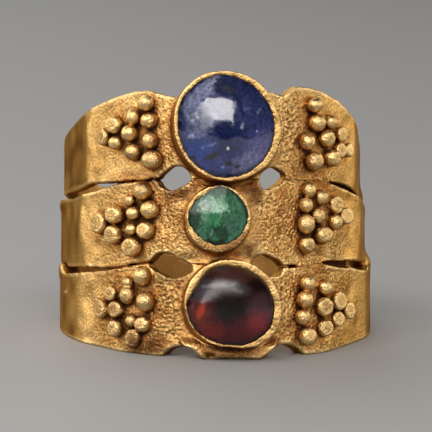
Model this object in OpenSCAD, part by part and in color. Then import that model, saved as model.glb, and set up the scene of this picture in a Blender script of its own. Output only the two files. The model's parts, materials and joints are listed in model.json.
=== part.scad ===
// Finger ring of three flat gold bands, soldered one above the other, each with a stone in a collet at
// the front and a triangle of granules on each shoulder. It rests on its lower edge, with the stones
// towards -Y. The bands are drawn about an upright axis and then leaned back onto that edge.

/* [Bands] */
// Inside diameter, which is the finger's size
finger_d = 19.0; // [18:0.1:19.4]
// Outside diameter of the upper band
upper_d = 20.8; // [20.4:0.1:21]
// Outside diameter of the middle band
middle_d = 21.5; // [21.2:0.1:21.8]
// Outside diameter of the lower band
lower_d = 21.9; // [21.9:0.1:22.4]
// Angle by which the ring leans back when it rests on its lower edge
lean = 12.7; // [11:0.1:15]
// Height of the stack's top edge above its middle, at the sides
side_top = 6.7; // [6:0.1:7]
// Height of the stack's middle above its lower edge, at the sides
side_bottom = 6.9; // [6.6:0.1:7.2]
// Rise of the top edge for each millimetre towards the stones
top_slope = 0.28; // [0.2:0.01:0.32]
// Height of the stack's top edge above its middle, at the back
back_top = 3.2; // [2.8:0.1:3.6]

/* [Slits and eyes] */
// Height of the slit under the upper band, at the front
upper_slit_z = 2.92; // [2.8:0.01:3]
// Depth below the middle of the slit over the lower band, at the front
lower_slit_z = 2.95; // [2.85:0.01:3.1]
// Widest opening of a slit, at the sides
slit_w = 0.5; // [0.3:0.05:0.6]
// Narrowest opening of a slit, next to the eyes
slit_narrow = 0.14; // [0.1:0.02:0.2]

/* [Settings] */
// Thickness of a collet's wall
collet_wall = 0.24; // [0.2:0.02:0.3]
// How far a collet's rim leans in over its stone
lip = 0.08; // [0.04:0.01:0.1]
// Outside diameter of the blue stone's collet
blue_d = 7.4; // [7:0.1:7.5]
// Outside diameter of the green stone's collet
green_d = 4.7; // [4.4:0.1:4.8]
// Outside height of the red stone's collet
red_h = 5.84; // [5.6:0.02:6]
// Outside width of the red stone's collet
red_w = 6.58; // [6.2:0.02:6.8]
// Distance of the blue stone's rim from the finger's axis
blue_rim = 12.7; // [12.4:0.1:12.9]
// Distance of the green stone's rim from the finger's axis
green_rim = 12.1; // [11.9:0.1:12.4]
// Distance of the red stone's rim from the finger's axis
red_rim = 12.6; // [12.4:0.1:12.9]
// How far the blue stone's dome stands out of its collet
blue_dome = 1.6; // [1.2:0.1:1.9]
// How far the green stone's point stands out of its collet
green_point = 0.8; // [0.5:0.1:1.1]
// How far the red stone's dome stands out of its collet
red_dome = 1.4; // [1:0.1:1.6]
// Gap between a stone and its collet
stone_gap = 0.06; // [0.04:0.01:0.1]

/* [Granules] */
// Diameter of a granule
granule_d = 1.16; // [1:0.02:1.2]
// Distance of a granule's centre from its band's face
granule_out = 0.36; // [0.3:0.02:0.42]
// Height at which the outer granules are worn flat
worn_h = 0.62; // [0.5:0.02:0.8]

/* [Hidden] */
$fn = 64;
far = 16;

// Places of the stones' centres, as seen from the front: [right, up]
blue_at = [-0.12, 6.33];
green_at = [-0.5, -0.02];
red_at = [0.19, -5.73];
plate_at = [0.26, -5.62];
plate_r = 3.75;
plate_front = 11.25;
setting_back = finger_d / 2 + 0.1;
seat_front = lower_d / 2 + 0.1;
lip_h = 0.35;
blue_shape = [blue_d, blue_d];
green_shape = [green_d, green_d];
red_shape = [red_w, red_h];

// Edges of the bands as seen from the side: [back, up]
top_edge = [[-far, side_top + top_slope * far], [0, side_top], [2, side_top - 1.3],
    [4.3, back_top + 0.5], [7, back_top + 0.15], [far, back_top - 0.2]];
upper_slit = [[-far, upper_slit_z], [-6.3, upper_slit_z], [-2.5, 2.1], [0, 1.7], [6, 1.25], [far, 1]];
lower_slit = [[-far, -lower_slit_z], [-6.3, -lower_slit_z + 0.25], [0, -2.3], [6, -1.5], [far, -1]];
floor_edge = [[-far, -far], [far, -far]];

// Half the width of each slit at points along it: [back, half width]
slit_widths = [[-far, slit_narrow / 2], [-9, slit_narrow / 2], [-6.3, slit_w * 0.35], [-2.5, slit_w / 2],
    [0, slit_w / 2], [6, slit_w * 0.3], [8.6, slit_narrow / 2]];

// Eyes between the bands, as seen from the front: [right, up, width, height, turn]
eyes = [
    [-3.45, 2.97, 2.3, 1.76, 0],
    [3.2, 3.02, 2.15, 1.6, 10],
    [-3.67, -2.96, 3.3, 1.9, -10],
    [2.85, -2.97, 2.5, 1.68, -6],
];

// Round nicks in the stack's edges beside the stones: [right, up, radius]
nicks = [
    [-3, 10.8, 2.2],
    [3.9, 10.15, 1.3],
    [-3.1, -9.55, 1.25],
    [3.9, -9.8, 1.4],
];

// Triangles of granules: [band's outside diameter, side, angle of the tall column, height of the middle,
// spacing along a column, angle between columns]
triangles = [
    [upper_d, -1, 28.8, 6.1, 1.3, 7.2],
    [middle_d, -1, 29.5, 0.15, 1.26, 7],
    [lower_d, -1, 30, -5.85, 1.35, 6.4],
    [upper_d, 1, 34.5, 6.05, 1.28, 7.6],
    [middle_d, 1, 30, 0.45, 1.26, 7.2],
    [lower_d, 1, 29, -5.9, 1.25, 7.7],
];
columns = 4;

// The ring's place: its lower edge at height 0 and its box centred on the origin
rest_height = side_bottom * cos(lean);
front_reach = (red_rim + red_dome - dome_r(red_w, red_dome)) * cos(lean) - red_at[1] * sin(lean)
    + dome_r(red_w, red_dome);
back_reach = upper_d / 2 * cos(lean) + edge_at(top_edge, upper_d / 2) * sin(lean);

// Height of a piecewise straight edge at a distance back
function edge_at(edge, back) = lookup(back, edge);

// Radius of the ball whose cap fills a collet of this width and stands out by this much
function dome_r(width, out) = let (half = cap_half(width)) (half * half + out * out) / (2 * out);
function cap_half(width) = width / 2 - collet_wall - lip - stone_gap;

// An outline seen from the side, [back, up], made solid from one X to another
module from_side(outline, x_low = -far, x_high = far) {
    translate([x_low, 0, 0])
        rotate([90, 0, 90])
            linear_extrude(x_high - x_low)
                polygon(outline);
}

// A shape seen from the front, [right, up], made solid between two distances from the finger's axis
module from_front(near_d, far_d) {
    translate([0, -near_d, 0])
        rotate([90, 0, 0])
            linear_extrude(far_d - near_d)
                children();
}

// Points of one edge followed by those of another in reverse, which close an outline
function between(low, high) = concat(low, [for (i = [len(high) - 1:-1:0]) high[i]]);

// One band, between two edges
module band(diameter, low, high) {
    intersection() {
        translate([0, 0, -far])
            cylinder(h = 2 * far, d = diameter);
        from_side(between(low, high));
    }
}

// The three bands and the plate under the red stone, still without the finger's hole
module stack() {
    band(upper_d, upper_slit, top_edge);
    band(middle_d, lower_slit, upper_slit);
    band(lower_d, floor_edge, lower_slit);
    from_front(setting_back, plate_front)
        translate(plate_at)
            circle(plate_r);
}

// A slit from one X to another, which closes towards the back
module slit(path, x_low, x_high) {
    lower = [for (s = slit_widths) [s[0], edge_at(path, s[0]) - s[1]]];
    upper = [for (s = slit_widths) [s[0], edge_at(path, s[0]) + s[1]]];
    from_side(between(lower, upper), x_low, x_high);
}

// A lens of two arcs
module lens(width, height) {
    r = (width * width + height * height) / (4 * height);
    intersection() {
        translate([0, r - height / 2])
            circle(r);
        translate([0, height / 2 - r])
            circle(r);
    }
}

module eye_cuts() {
    for (e = eyes)
        from_front(0, far)
            translate([e[0], e[1]])
                rotate(e[4])
                    lens(e[2], e[3]);
}

module nick_cuts() {
    for (n = nicks)
        from_front(0, far)
            translate([n[0], n[1]])
                circle(n[2]);
}

module slit_cuts() {
    slit(upper_slit, -far, -4.4);
    slit(upper_slit, 6.9, far);
    slit(lower_slit, -far, -5.1);
    slit(lower_slit, 5.9, far);
}

// An oval of two half circles, as wide and high as given, and smaller by inset all round
module oval(size, inset = 0) {
    r = size[1] / 2 - inset;
    shift = (size[0] - size[1]) / 2;
    if (shift > 0) {
        translate([-shift, 0])
            circle(r);
        translate([shift, 0])
            circle(r);
        square([2 * shift, 2 * r], center = true);
    } else {
        circle(r);
    }
}

// A collet with its floor and the turned-in lip of its rim
module collet(at, size, rim) {
    translate([at[0], 0, at[1]])
        difference() {
            from_front(setting_back, rim)
                oval(size);
            from_front(seat_front, rim - lip_h)
                oval(size, collet_wall);
            from_front(rim - lip_h - 0.01, far)
                oval(size, collet_wall + lip);
        }
}

// One granule on a band; a worn one is cut off along the band's curve
module granule(diameter, angle, height, worn) {
    centre_r = diameter / 2 + granule_out;
    intersection() {
        rotate([0, 0, angle])
            translate([0, -centre_r, height])
                sphere(d = granule_d);
        if (worn)
            translate([0, 0, height - granule_d])
                cylinder(h = 2 * granule_d, r = diameter / 2 + worn_h);
    }
}

// Ten granules in columns of four, three, two and one; the last two columns are worn
module granules(t) {
    for (column = [0:columns - 1])
        for (row = [0:columns - 1 - column])
            granule(t[0], t[1] * (t[2] + column * t[5]), t[3] + (row - (columns - 1 - column) / 2) * t[4],
                column > 1);
}

// Leans the ring back and sets it down
module placed() {
    translate([0, (front_reach - back_reach) / 2, rest_height])
        rotate([-lean, 0, 0])
            children();
}

module gold_bands() {
    color("goldenrod")
        difference() {
            placed() {
                difference() {
                    stack();
                    translate([0, 0, -far])
                        cylinder(h = 2 * far, d = finger_d);
                    eye_cuts();
                    nick_cuts();
                    slit_cuts();
                }
                collet(blue_at, blue_shape, blue_rim);
                collet(green_at, green_shape, green_rim);
                collet(red_at, red_shape, red_rim);
                for (t = triangles)
                    granules(t);
            }
            translate([-far, -2 * far, -4 * far])
                cube([2 * far, 4 * far, 4 * far]);
        }
}

// A round or oval stone with a domed front
module cabochon(at, size, rim, out) {
    r = dome_r(size[0], out);
    placed()
        translate([at[0], 0, at[1]])
            intersection() {
                from_front(seat_front + stone_gap, far)
                    oval(size, collet_wall + stone_gap);
                translate([0, r - rim - out, 0])
                    sphere(r);
            }
}

module blue_stone() {
    color("royalblue")
        cabochon(blue_at, blue_shape, blue_rim, blue_dome);
}

module red_stone() {
    color("maroon")
        cabochon(red_at, red_shape, red_rim, red_dome);
}

// The green crystal: a low eight-sided point with a small flat on top
module green_stone() {
    facets = 8;
    girdle = green_rim - 0.3;
    point_h = green_rim + green_point - girdle;
    base_r = cap_half(green_d) + point_h * 0.2;
    color("seagreen")
        placed()
            translate([green_at[0], 0, green_at[1]])
                intersection() {
                    from_front(seat_front + stone_gap, far)
                        circle(green_d / 2 - collet_wall - stone_gap);
                    translate([0, -seat_front, 0])
                        rotate([90, 22.5, 0])
                            union() {
                                cylinder(h = girdle - seat_front, r = base_r, $fn = facets);
                                translate([0, 0, girdle - seat_front])
                                    cylinder(h = point_h, r1 = base_r, r2 = 0.25, $fn = facets);
                            }
                }
}

gold_bands();
blue_stone();
green_stone();
red_stone();
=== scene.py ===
"""The looks of a gold finger ring of three soldered bands, with granules and three stones.

All forms are worked out in the ring's own millimetres, about the finger's axis: X to the right as seen
facing the stones, Y to the back, Z up along the axis. An angle of 0 degrees is at the front, positive to
the right. The frame's finger mount says where that axis stands.
"""

import json
import math
from itertools import product

import bpy
import numpy as np
from mathutils import Matrix, Vector


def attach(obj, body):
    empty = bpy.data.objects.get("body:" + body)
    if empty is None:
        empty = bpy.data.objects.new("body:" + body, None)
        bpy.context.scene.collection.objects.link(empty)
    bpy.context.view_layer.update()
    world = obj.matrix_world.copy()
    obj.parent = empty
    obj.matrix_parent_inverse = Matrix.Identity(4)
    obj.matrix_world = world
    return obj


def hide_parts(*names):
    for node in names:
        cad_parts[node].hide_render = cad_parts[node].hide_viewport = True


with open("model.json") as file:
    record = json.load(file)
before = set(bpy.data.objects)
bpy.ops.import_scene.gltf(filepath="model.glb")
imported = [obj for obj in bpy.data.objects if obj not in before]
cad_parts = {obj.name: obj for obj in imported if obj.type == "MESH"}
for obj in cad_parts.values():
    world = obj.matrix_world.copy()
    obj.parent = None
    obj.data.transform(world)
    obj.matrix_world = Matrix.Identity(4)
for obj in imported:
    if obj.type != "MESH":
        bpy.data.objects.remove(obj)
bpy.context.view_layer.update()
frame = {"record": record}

MM = 0.001


# The ring's place

FINGER = next(mount for mount in frame["record"]["mounts"] if mount["name"] == "finger")
BORE_R = FINGER["dims"]["r_mm"]
CENTRE = np.array(FINGER["pos_m"])
RING_UP = np.array(FINGER["axis"])
RING_RIGHT = np.array([1.0, 0.0, 0.0])
# The ring's right, back and up in the frame
RING_AXES = np.stack([RING_RIGHT, np.cross(RING_UP, RING_RIGHT), RING_UP])
REST_HEIGHT = CENTRE[2] / MM
LEAN_SIN = RING_UP[1]
LEAN_COS = RING_UP[2]


def add_object(name, data):
    made = bpy.data.objects.new(name, data)
    bpy.context.scene.collection.objects.link(made)
    return made


# Camera, floor and light

PHOTO_SIZE = 432
CAMERA_DISTANCE = 0.26
CAMERA_FOCAL = 3689.4
CAMERA_YAW = math.radians(4.5)
CAMERA_BELOW = math.radians(3.6)
PHOTO_CENTRE_X = 214.3
PHOTO_CENTRE_Y = 231.0
SENSOR_MM = 36.0


def camera_axes():
    """Right, up and forward of a camera that looks straight at the ring's centre, in the frame."""
    forward = np.array([
        math.sin(CAMERA_YAW) * math.cos(CAMERA_BELOW),
        math.cos(CAMERA_YAW) * math.cos(CAMERA_BELOW),
        math.sin(CAMERA_BELOW),
    ])
    right = np.array([math.cos(CAMERA_YAW), -math.sin(CAMERA_YAW), 0.0]) @ RING_AXES
    forward = forward @ RING_AXES
    return right, np.cross(right, forward), forward


def look_matrix(place, target, up):
    """Matrix of a camera or lamp at a place, which points its -Z at the target."""
    forward = Vector(target - place).normalized()
    right = forward.cross(Vector(up)).normalized()
    true_up = right.cross(forward)
    turn = Matrix((right, true_up, -forward)).transposed().to_4x4()
    return Matrix.Translation(Vector(place)) @ turn


def add_camera():
    right, up, forward = camera_axes()
    place = CENTRE - forward * CAMERA_DISTANCE
    metres_per_pixel = CAMERA_DISTANCE / CAMERA_FOCAL
    half = PHOTO_SIZE / 2
    aim = CENTRE + right * (half - PHOTO_CENTRE_X) * metres_per_pixel
    aim = aim + up * (PHOTO_CENTRE_Y - half) * metres_per_pixel
    data = bpy.data.cameras.new("camera")
    data.sensor_width = SENSOR_MM
    data.lens = CAMERA_FOCAL / PHOTO_SIZE * SENSOR_MM
    data.clip_start = 0.01
    camera = add_object("camera", data)
    camera.matrix_world = look_matrix(place, aim, up)
    bpy.context.scene.camera = camera


# Some lights shine on the gold and the floor alone, one on the blue stone and one on the other stones
LIT = {key: bpy.data.collections.new("lit_" + key) for key in ("gold", "blue_gem", "other_gems")}

# Name, what it lights, degrees to the right of and above the camera, distance, width, height, radiance,
# colour, roll in degrees
LIGHTS = [
    ("key", "gold", -16, 33, 0.3, 0.38, 0.28, 3.55, (1, 0.97, 0.93), 0),
    ("left_side", "gold", -92, 22, 0.36, 0.32, 0.26, 2.4, (1, 0.96, 0.9), 0),
    ("right_fill", "gold", 50, 20, 0.32, 0.36, 0.3, 1.25, (1, 0.97, 0.93), 0),
    ("right_side", "gold", 114, 18, 0.36, 0.26, 0.26, 1.95, (1, 0.96, 0.9), 0),
    ("back_light", "gold", -152, 44, 0.4, 0.34, 0.26, 2.3, (0.97, 0.98, 1), 0),
    ("blue_key", "blue_gem", -8, 31, 0.3, 0.265, 0.195, 7, (1, 0.98, 0.97), -3),
    ("gem_key", "other_gems", -15, 31, 0.3, 0.38, 0.22, 5.4, (1, 0.98, 0.96), 0),
]
FLOOR_SIDE = 3
FLOOR_COLOR = (0.27, 0.265, 0.26, 1)
FLOOR_ROUGHNESS = 0.7
WORLD_COLOR = (0.8, 0.82, 0.86, 1)
WORLD_STRENGTH = 0.045


def add_softbox(name, lit, side, rise, distance, width, height, radiance, color, roll):
    """A rectangular light that faces the ring."""
    right, up, forward = camera_axes()
    side = math.radians(side)
    rise = math.radians(rise)
    way = -forward * math.cos(side) * math.cos(rise) + right * math.sin(side) * math.cos(rise)
    way = way + up * math.sin(rise)
    data = bpy.data.lights.new(name, "AREA")
    data.shape = "RECTANGLE"
    data.size = width
    data.size_y = height
    data.energy = radiance * math.pi * width * height
    data.color = color
    lamp = add_object(name, data)
    rolled = Matrix.Rotation(math.radians(roll), 4, "Z")
    lamp.matrix_world = look_matrix(CENTRE + way * distance, CENTRE, up) @ rolled
    lamp.visible_camera = False
    lamp.light_linking.receiver_collection = LIT[lit]


def new_material(name):
    material = bpy.data.materials.new(name)
    material.use_nodes = True
    return material, material.node_tree, material.node_tree.nodes["Principled BSDF"]


def add_floor():
    mesh = bpy.data.meshes.new("floor")
    corners = [(x * FLOOR_SIDE, y * FLOOR_SIDE, 0) for x, y in ((-1, -1), (1, -1), (1, 1), (-1, 1))]
    mesh.from_pydata(corners, [], [(0, 1, 2, 3)])
    material, _, shader = new_material("pale_floor")
    shader.inputs["Base Color"].default_value = FLOOR_COLOR
    shader.inputs["Roughness"].default_value = FLOOR_ROUGHNESS
    mesh.materials.append(material)
    floor = add_object("floor", mesh)
    LIT["gold"].objects.link(floor)


def set_world():
    world = bpy.data.worlds.new("studio")
    world.use_nodes = True
    background = world.node_tree.nodes["Background"]
    background.inputs["Color"].default_value = WORLD_COLOR
    background.inputs["Strength"].default_value = WORLD_STRENGTH
    bpy.context.scene.world = world
    bpy.context.scene.view_settings.view_transform = "Standard"


# Smooth noise, charts and distances

NOISE_CELLS = 256
CELLS_PER_WAVE = 8


def make_noise(seed):
    """A square map of smooth random waves of one length, which repeats at its edges."""
    rng = np.random.default_rng(seed)
    spectrum = np.fft.fft2(rng.standard_normal((NOISE_CELLS, NOISE_CELLS)))
    step = np.fft.fftfreq(NOISE_CELLS)
    pitch = np.hypot(step[:, None], step[None, :]) * CELLS_PER_WAVE
    waves = np.real(np.fft.ifft2(spectrum * np.exp(-((pitch - 1) / 0.35) ** 2)))
    return waves / waves.std()


NOISE_A, NOISE_B, NOISE_C = (make_noise(seed) for seed in (1, 2, 3))


def sample_noise(noise, u, v, wavelength):
    """The map's value at places u, v in millimetres, with waves of this length."""
    u = np.asarray(u) / wavelength * CELLS_PER_WAVE
    v = np.asarray(v) / wavelength * CELLS_PER_WAVE
    iu = np.floor(u).astype(int)
    iv = np.floor(v).astype(int)
    fu = u - iu
    fv = v - iv
    a, b, c, d = (noise[(iu + i) % NOISE_CELLS, (iv + j) % NOISE_CELLS] for j in (0, 1) for i in (0, 1))
    return (a * (1 - fu) + b * fu) * (1 - fv) + (c * (1 - fu) + d * fu) * fv


def smooth_step(low, high, value):
    t = np.clip((value - low) / (high - low), 0, 1)
    return t * t * (3 - 2 * t)


def smooth_min(a, b, width):
    t = np.clip(0.5 + 0.5 * (b - a) / width, 0, 1)
    return b * (1 - t) + a * t - width * t * (1 - t)


def smooth_max(a, b, width):
    return -smooth_min(-a, -b, width)


def chart(rows, angle, blur=1.5, column=1):
    """A column charted by angle in degrees, rounded at its corners over this many degrees."""
    rows = np.array(rows, float)
    fine = np.arange(-180, 180, 0.5)
    values = np.interp(fine, rows[:, 0], rows[:, column], period=360)
    offsets = np.arange(-int(6 * blur), int(6 * blur) + 1)
    weights = np.exp(-(offsets * 0.5 / blur) ** 2)
    weights = weights / weights.sum()
    soft = sum(w * np.roll(values, k) for w, k in zip(weights, offsets))
    return np.interp(angle, fine, soft, period=360)


def polygon_distance(x, y, corners):
    """Distance from points to a closed outline, negative inside."""
    nearest = np.full(np.broadcast(x, y).shape, np.inf)
    inside = np.zeros(nearest.shape, bool)
    for (ax, ay), (bx, by) in zip(corners, corners[1:] + corners[:1]):
        along = ((x - ax) * (bx - ax) + (y - ay) * (by - ay)) / ((bx - ax) ** 2 + (by - ay) ** 2)
        along = np.clip(along, 0, 1)
        nearest = np.minimum(nearest, np.hypot(x - ax - along * (bx - ax), y - ay - along * (by - ay)))
        at = ax + (y - ay) * (bx - ax) / np.where(by == ay, 1, by - ay)
        inside ^= ((ay > y) != (by > y)) & (x < at)
    return np.where(inside, -nearest, nearest)


def round_corners(corners, times=2):
    """A closed outline with its corners cut, again and again."""
    points = np.array(corners, float)
    for _ in range(times):
        after = np.roll(points, -1, axis=0)
        points = np.stack([0.75 * points + 0.25 * after, 0.25 * points + 0.75 * after], axis=1)
        points = points.reshape(-1, 2)
    return [tuple(point) for point in points]


# The bands' outline, charted by angle and height

OUTER_R = {"upper": 10.4, "middle": 10.72, "lower": 10.86}
# Farthest that the bands reach to either side
SIDE_LIMIT = 10.94
# Millimetres along the bands to a degree, at their mean radius
ARC = math.radians(10.6)

# Angle, height of the stack's top edge
TOP_EDGE = [
    (-180, 3.1), (-140, 3.3), (-114, 3.8), (-101, 5.5), (-90, 6.7), (-78, 7.3), (-65, 7.92), (-55, 8.35),
    (-44, 8.75), (-36, 9), (-30, 9), (-24, 8.68), (-18, 8.42), (-12, 8.4), (0, 8.4), (14, 8.76), (17, 8.95),
    (19.5, 8.78), (22, 8.62), (23.6, 8.7), (25, 9), (27.5, 9.3), (30, 9.38), (33, 9.36), (42, 9.12),
    (52, 8.7), (62, 8), (71, 7.35), (78, 6.8), (90, 6.1), (101, 5.2), (114, 3.8), (140, 3.3),
]

# Angle, height, opening of the slit under the upper band; it is closed where the opening is below zero
UPPER_SLIT = [
    (-180, 1.15, -0.3), (-150, 1.2, -0.3), (-130, 1.3, 0.2), (-100, 2.1, 0.4), (-88, 2.38, 0.4),
    (-82, 2.32, 0.48), (-77, 2.28, 0.58), (-68, 2.39, 0.58), (-60, 2.57, 0.66), (-56, 2.6, 0.58),
    (-50, 2.66, 0.36), (-45, 2.74, 0.15), (-38, 2.82, 0.1), (-26, 2.88, 0.13), (-20, 2.9, 0.13),
    (-14, 2.9, -0.3), (0, 2.85, -0.3), (38, 2.95, -0.3), (48, 2.84, -0.3), (57, 2.7, -0.3), (64, 2.44, -0.3),
    (72, 2.15, -0.3), (83, 1.55, -0.3), (95, 1.3, -0.3), (100, 1.2, 0.3), (130, 1.2, 0.2), (150, 1.2, -0.3),
]

# Angle, height, opening of the slit over the lower band
LOWER_SLIT = [
    (-180, -1.1, -0.3), (-150, -1.2, -0.3), (-130, -1.4, 0.2), (-100, -2.2, 0.1), (-86, -2.35, 0.1),
    (-82, -2.6, 0.3), (-79, -2.92, 0.46), (-70, -2.98, 0.46), (-62, -3.03, 0.36), (-56, -3.06, 0.26),
    (-50, -3.1, 0.18), (-44, -3.05, 0.1), (-36, -2.86, 0.1), (-28, -2.7, 0.1), (-24, -2.8, -0.3),
    (0, -3, -0.3), (19, -3.03, -0.2), (21, -3.03, 0.14), (27, -2.97, 0.14), (29, -2.95, -0.3),
    (39, -2.66, -0.3), (52, -2.66, -0.3), (56, -2.6, -0.3), (59, -2.57, 0.46), (67, -2.6, 0.56),
    (75, -2.55, 0.54), (77.5, -2.5, -0.3), (95, -2.3, -0.3), (100, -2.2, 0.3), (130, -1.4, 0.2),
    (150, -1.2, -0.3),
]

# Where a slit is only a groove: angle, width
UPPER_GROOVE = [
    (-100, 0), (43, 0), (47, 0.2), (52, 0.3), (58, 0.42), (64, 0.36), (72, 0.2), (90, 0.14), (98, 0),
]
LOWER_GROOVE = [
    (-100, 0), (38, 0), (42, 0.26), (46, 0.36), (52, 0.42), (57, 0.5), (61, 0.2), (64, 0),
]
GROOVE_DEPTH = 0.36
# The slit, the groove and the way from them to the band that they part from the middle one
SLITS = {"upper": (UPPER_SLIT, UPPER_GROOVE, 1), "lower": (LOWER_SLIT, LOWER_GROOVE, -1)}
# Rise of the jags along every edge, and radius at which the front's flat outline is measured
JAGS = 0.012
FRONT_R = 10.9

# Outlines of the four eyes, as rows of angle, height
EYES = [
    [(-26, 3), (-19.6, 3.85), (-15.4, 3.63), (-12.8, 2.87), (-16, 2.47), (-20, 2.08), (-24.6, 2.44)],
    [(17.8, 3.82), (24, 3.3), (20.2, 2.67), (15.8, 2.24), (12.7, 2.36), (12.9, 3.18)],
    [(-29, -2.66), (-23.8, -2), (-18.2, -2.5), (-11, -3.2), (-18.2, -3.9), (-27, -3.25)],
    [(8.3, -2.85), (13, -2.14), (19.4, -2.6), (21.8, -3.05), (18, -3.82), (13, -3.23)],
]
# No eye reaches farther than this, along the bands and in height
EYES_ARC = 8
EYES_HEIGHT = 6

# Round nicks in the lower edge beside the red stone, seen from the front: right, up, radius
NICKS = [(-3.1, -9.87, 1.44), (4.15, -9.88, 1.6)]

# Planes that the bands were hammered into, on the left and on the right: angle and radius of each bend
PLANES = {
    "upper": [
        [(-112, 10.4), (-92, 10.62), (-62, 10.4), (-43, 10.4)],
        [(44, 10.4), (67, 10.4), (92, 10.4)],
    ],
    "middle": [
        [(-112, 10.72), (-92, 10.82), (-64.5, 10.72), (-46, 10.72)],
        [(46, 10.72), (68, 10.72), (84, 10.6), (105, 10.72)],
    ],
    "lower": [
        [(-62, 10.86), (-45, 10.86)],
        [(43, 10.86), (73, 10.86), (84, 10.99), (105, 10.86)],
    ],
}
# How far each band's bends bow towards the front at its edges: middle, half height, share
BOWS = {"upper": (5.5, 3, 0.02), "middle": (0.3, 2.4, 0.06), "lower": (-6, 3, 0.02)}
# Half width in degrees over which a bend is rounded
BEND = 1.4

# Bent edges, a bump and a dent: angle, height, half width in degrees, half height, rise
LIPS = [
    (-88, 1.8, 9, 0.4, 0.14), (-88, -2.85, 9, 0.42, 0.16), (-77, 2.95, 7, 0.25, 0.1),
    (85, 2.3, 11, 0.7, 0.24), (85, -2.1, 9, 0.55, 0.36), (-58, 2.2, 10, 0.2, 0.05), (45, -3, 8, 0.14, 0.1),
    (-77, -4.5, 1.8, 0.2, 0.12), (-6, -9.15, 1.4, 0.15, -0.35),
]

# Lobe of metal under the red stone: right, up, radius, distance of its face from the finger's axis
LOBE = (0.19, -5.6, 4.3, 11.1)

# Patches of the gold: angle, height, half width in degrees, half height, strength.
# Coarse, ridged and fine grain that the solder left
COARSE_PATCHES = [
    (-19, 0.2, 10, 2.6, 1.1), (20, 0.2, 9, 2.6, 1.3), (41, 2.9, 8, 0.9, 1), (34, -2.9, 8, 0.8, 1),
    (23, -5.6, 6, 3.2, 0.7), (-40, 2.5, 9, 0.6, 0.7), (0, -8.8, 14, 0.6, 0.6),
]
RIDGED_PATCHES = [
    (24, 6.2, 8, 3.2, 1), (-22, -5.6, 7, 2.8, 1.2), (-40, -3.5, 8, 0.8, 1.2), (16, -4.3, 6, 0.9, 1.2),
]
FINE_PATCHES = [
    (-21, 6.2, 10, 3.2, 1), (-40, 6.4, 14, 2.6, 0.45), (22, 6.2, 10, 3.2, 0.8), (42, 6.2, 14, 2.6, 0.45),
    (-40, 0, 13, 2.8, 0.7), (38, 0, 14, 2.6, 1), (-22, -5.6, 8, 3.4, 0.9), (-40, -6.2, 13, 2.9, 0.9),
    (22, -5.6, 8, 3.4, 0.9), (38, -6.2, 14, 3, 1), (46, -4, 12, 1, 0.9),
]
# Darker with soil and painted shade, between the collets, beside the eyes and under the red collet, and
# lightened again
SOIL_AND_SHADE_PATCHES = [
    (0, 2.5, 15, 0.4, 0.3), (-2, -2.6, 13, 0.35, 0.3), (1, -8.75, 9, 0.45, 1), (-14, 2.9, 5, 1, 0.5),
    (12, 2.9, 5, 1, 0.5), (-12, 4.4, 4, 1.6, 0.3), (13, 4.4, 4, 1.6, 0.3), (-37, 3.1, 9, 0.5, 0.5),
]
LESS_SOIL_AND_SHADE_PATCHES = [(0, 2.6, 12, 0.8, 0.6), (0, -2.4, 10, 0.6, 0.5)]
# Painted shade: patches where the gold is darkened towards brown, so that it looks less lit
PAINTED_SHADE_PATCHES = [
    (-53, 5.4, 9, 3.2, 0.26), (-18, 0, 6, 2.6, 0.18), (-20, -5.6, 7, 3, 0.3), (56, 4.4, 9, 2.4, 0.34),
    (-38, -6.2, 10, 2.8, 0.36), (-36, 0.2, 9, 2.4, 0.14), (0, 2.7, 14, 1, 0.4),
]
# Dark brown patches: painted shade under the slits and the granules and along the lower edge, and darker
# gold round the eyes and between the collets
BROWN_PATCHES = [
    (7, 2.6, 4, 0.8, 0.8), (10, 1.8, 4, 0.8, 0.95), (-9, 2.7, 3, 0.7, 0.5), (-17, 1.9, 7, 0.5, 0.85),
    (-27, 2.7, 4, 0.6, 0.8), (1.5, -2.3, 6, 0.4, 0.85), (8, -2, 4, 0.6, 0.9), (-13, -2.6, 5, 0.5, 0.5),
    (10, 0, 2.5, 1.6, 0.5), (-30, -8.4, 9, 0.8, 0.9), (35, 2.9, 9, 0.5, 0.3), (-37, 4.6, 6, 0.4, 0.4),
    (-48, 2.7, 9, 0.3, 0.6), (-53, -3.2, 7, 0.3, 0.5), (-20, -3.8, 9, 0.4, 0.6), (35, -1.9, 9, 0.4, 0.5),
    (35, 3.6, 8, 0.5, 0.45), (0, -9.3, 11, 0.4, 0.8), (-53, -0.3, 2.5, 1.4, 0.35), (-36, -6, 10, 2.4, 0.18),
]
# Stained red
STAINED_PATCHES = [
    (0, 2.7, 15, 1, 1.1), (-21, 2.3, 7, 0.6, 0.6), (17, 2.2, 7, 0.7, 0.6), (37, 3, 12, 0.8, 0.7),
    (53, 2.6, 10, 0.6, 0.5), (29, 8.3, 9, 0.8, 0.35), (-44, 7.9, 4, 0.5, 0.6), (-36, 2.9, 9, 0.6, 0.6),
    (-46, -3.6, 6, 0.6, 0.4), (-24, -8.2, 6, 0.7, 0.6), (32, -2.9, 12, 0.6, 0.4), (-31, 5.6, 9, 2.6, 0.3),
    (0, -8.9, 16, 0.6, 0.7), (40, 6, 12, 2.6, 0.3), (35, 0, 9, 2.4, 0.3), (-36, 0, 10, 2.2, 0.3),
    (-36, -5.9, 10, 2.4, 0.3), (36, -5.9, 12, 2.4, 0.25), (-62, 3, 6, 0.4, 0.5), (13, -2.4, 7, 0.5, 0.4),
    (-31, 3.4, 8, 1.4, 0.35), (-11, 3.6, 4, 1.6, 1), (13, 3.8, 4, 1.4, 0.8), (30, -8.6, 7, 0.5, 0.5),
    (-20, 8, 5, 0.6, 0.4), (22, -8, 5, 1.4, 0.4), (8, 2.6, 6, 0.9, 0.5), (-9, 2.6, 5, 0.8, 0.5),
    (2, -2.3, 8, 0.5, 0.6), (-18, 1.9, 7, 0.5, 0.4),
]


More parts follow.
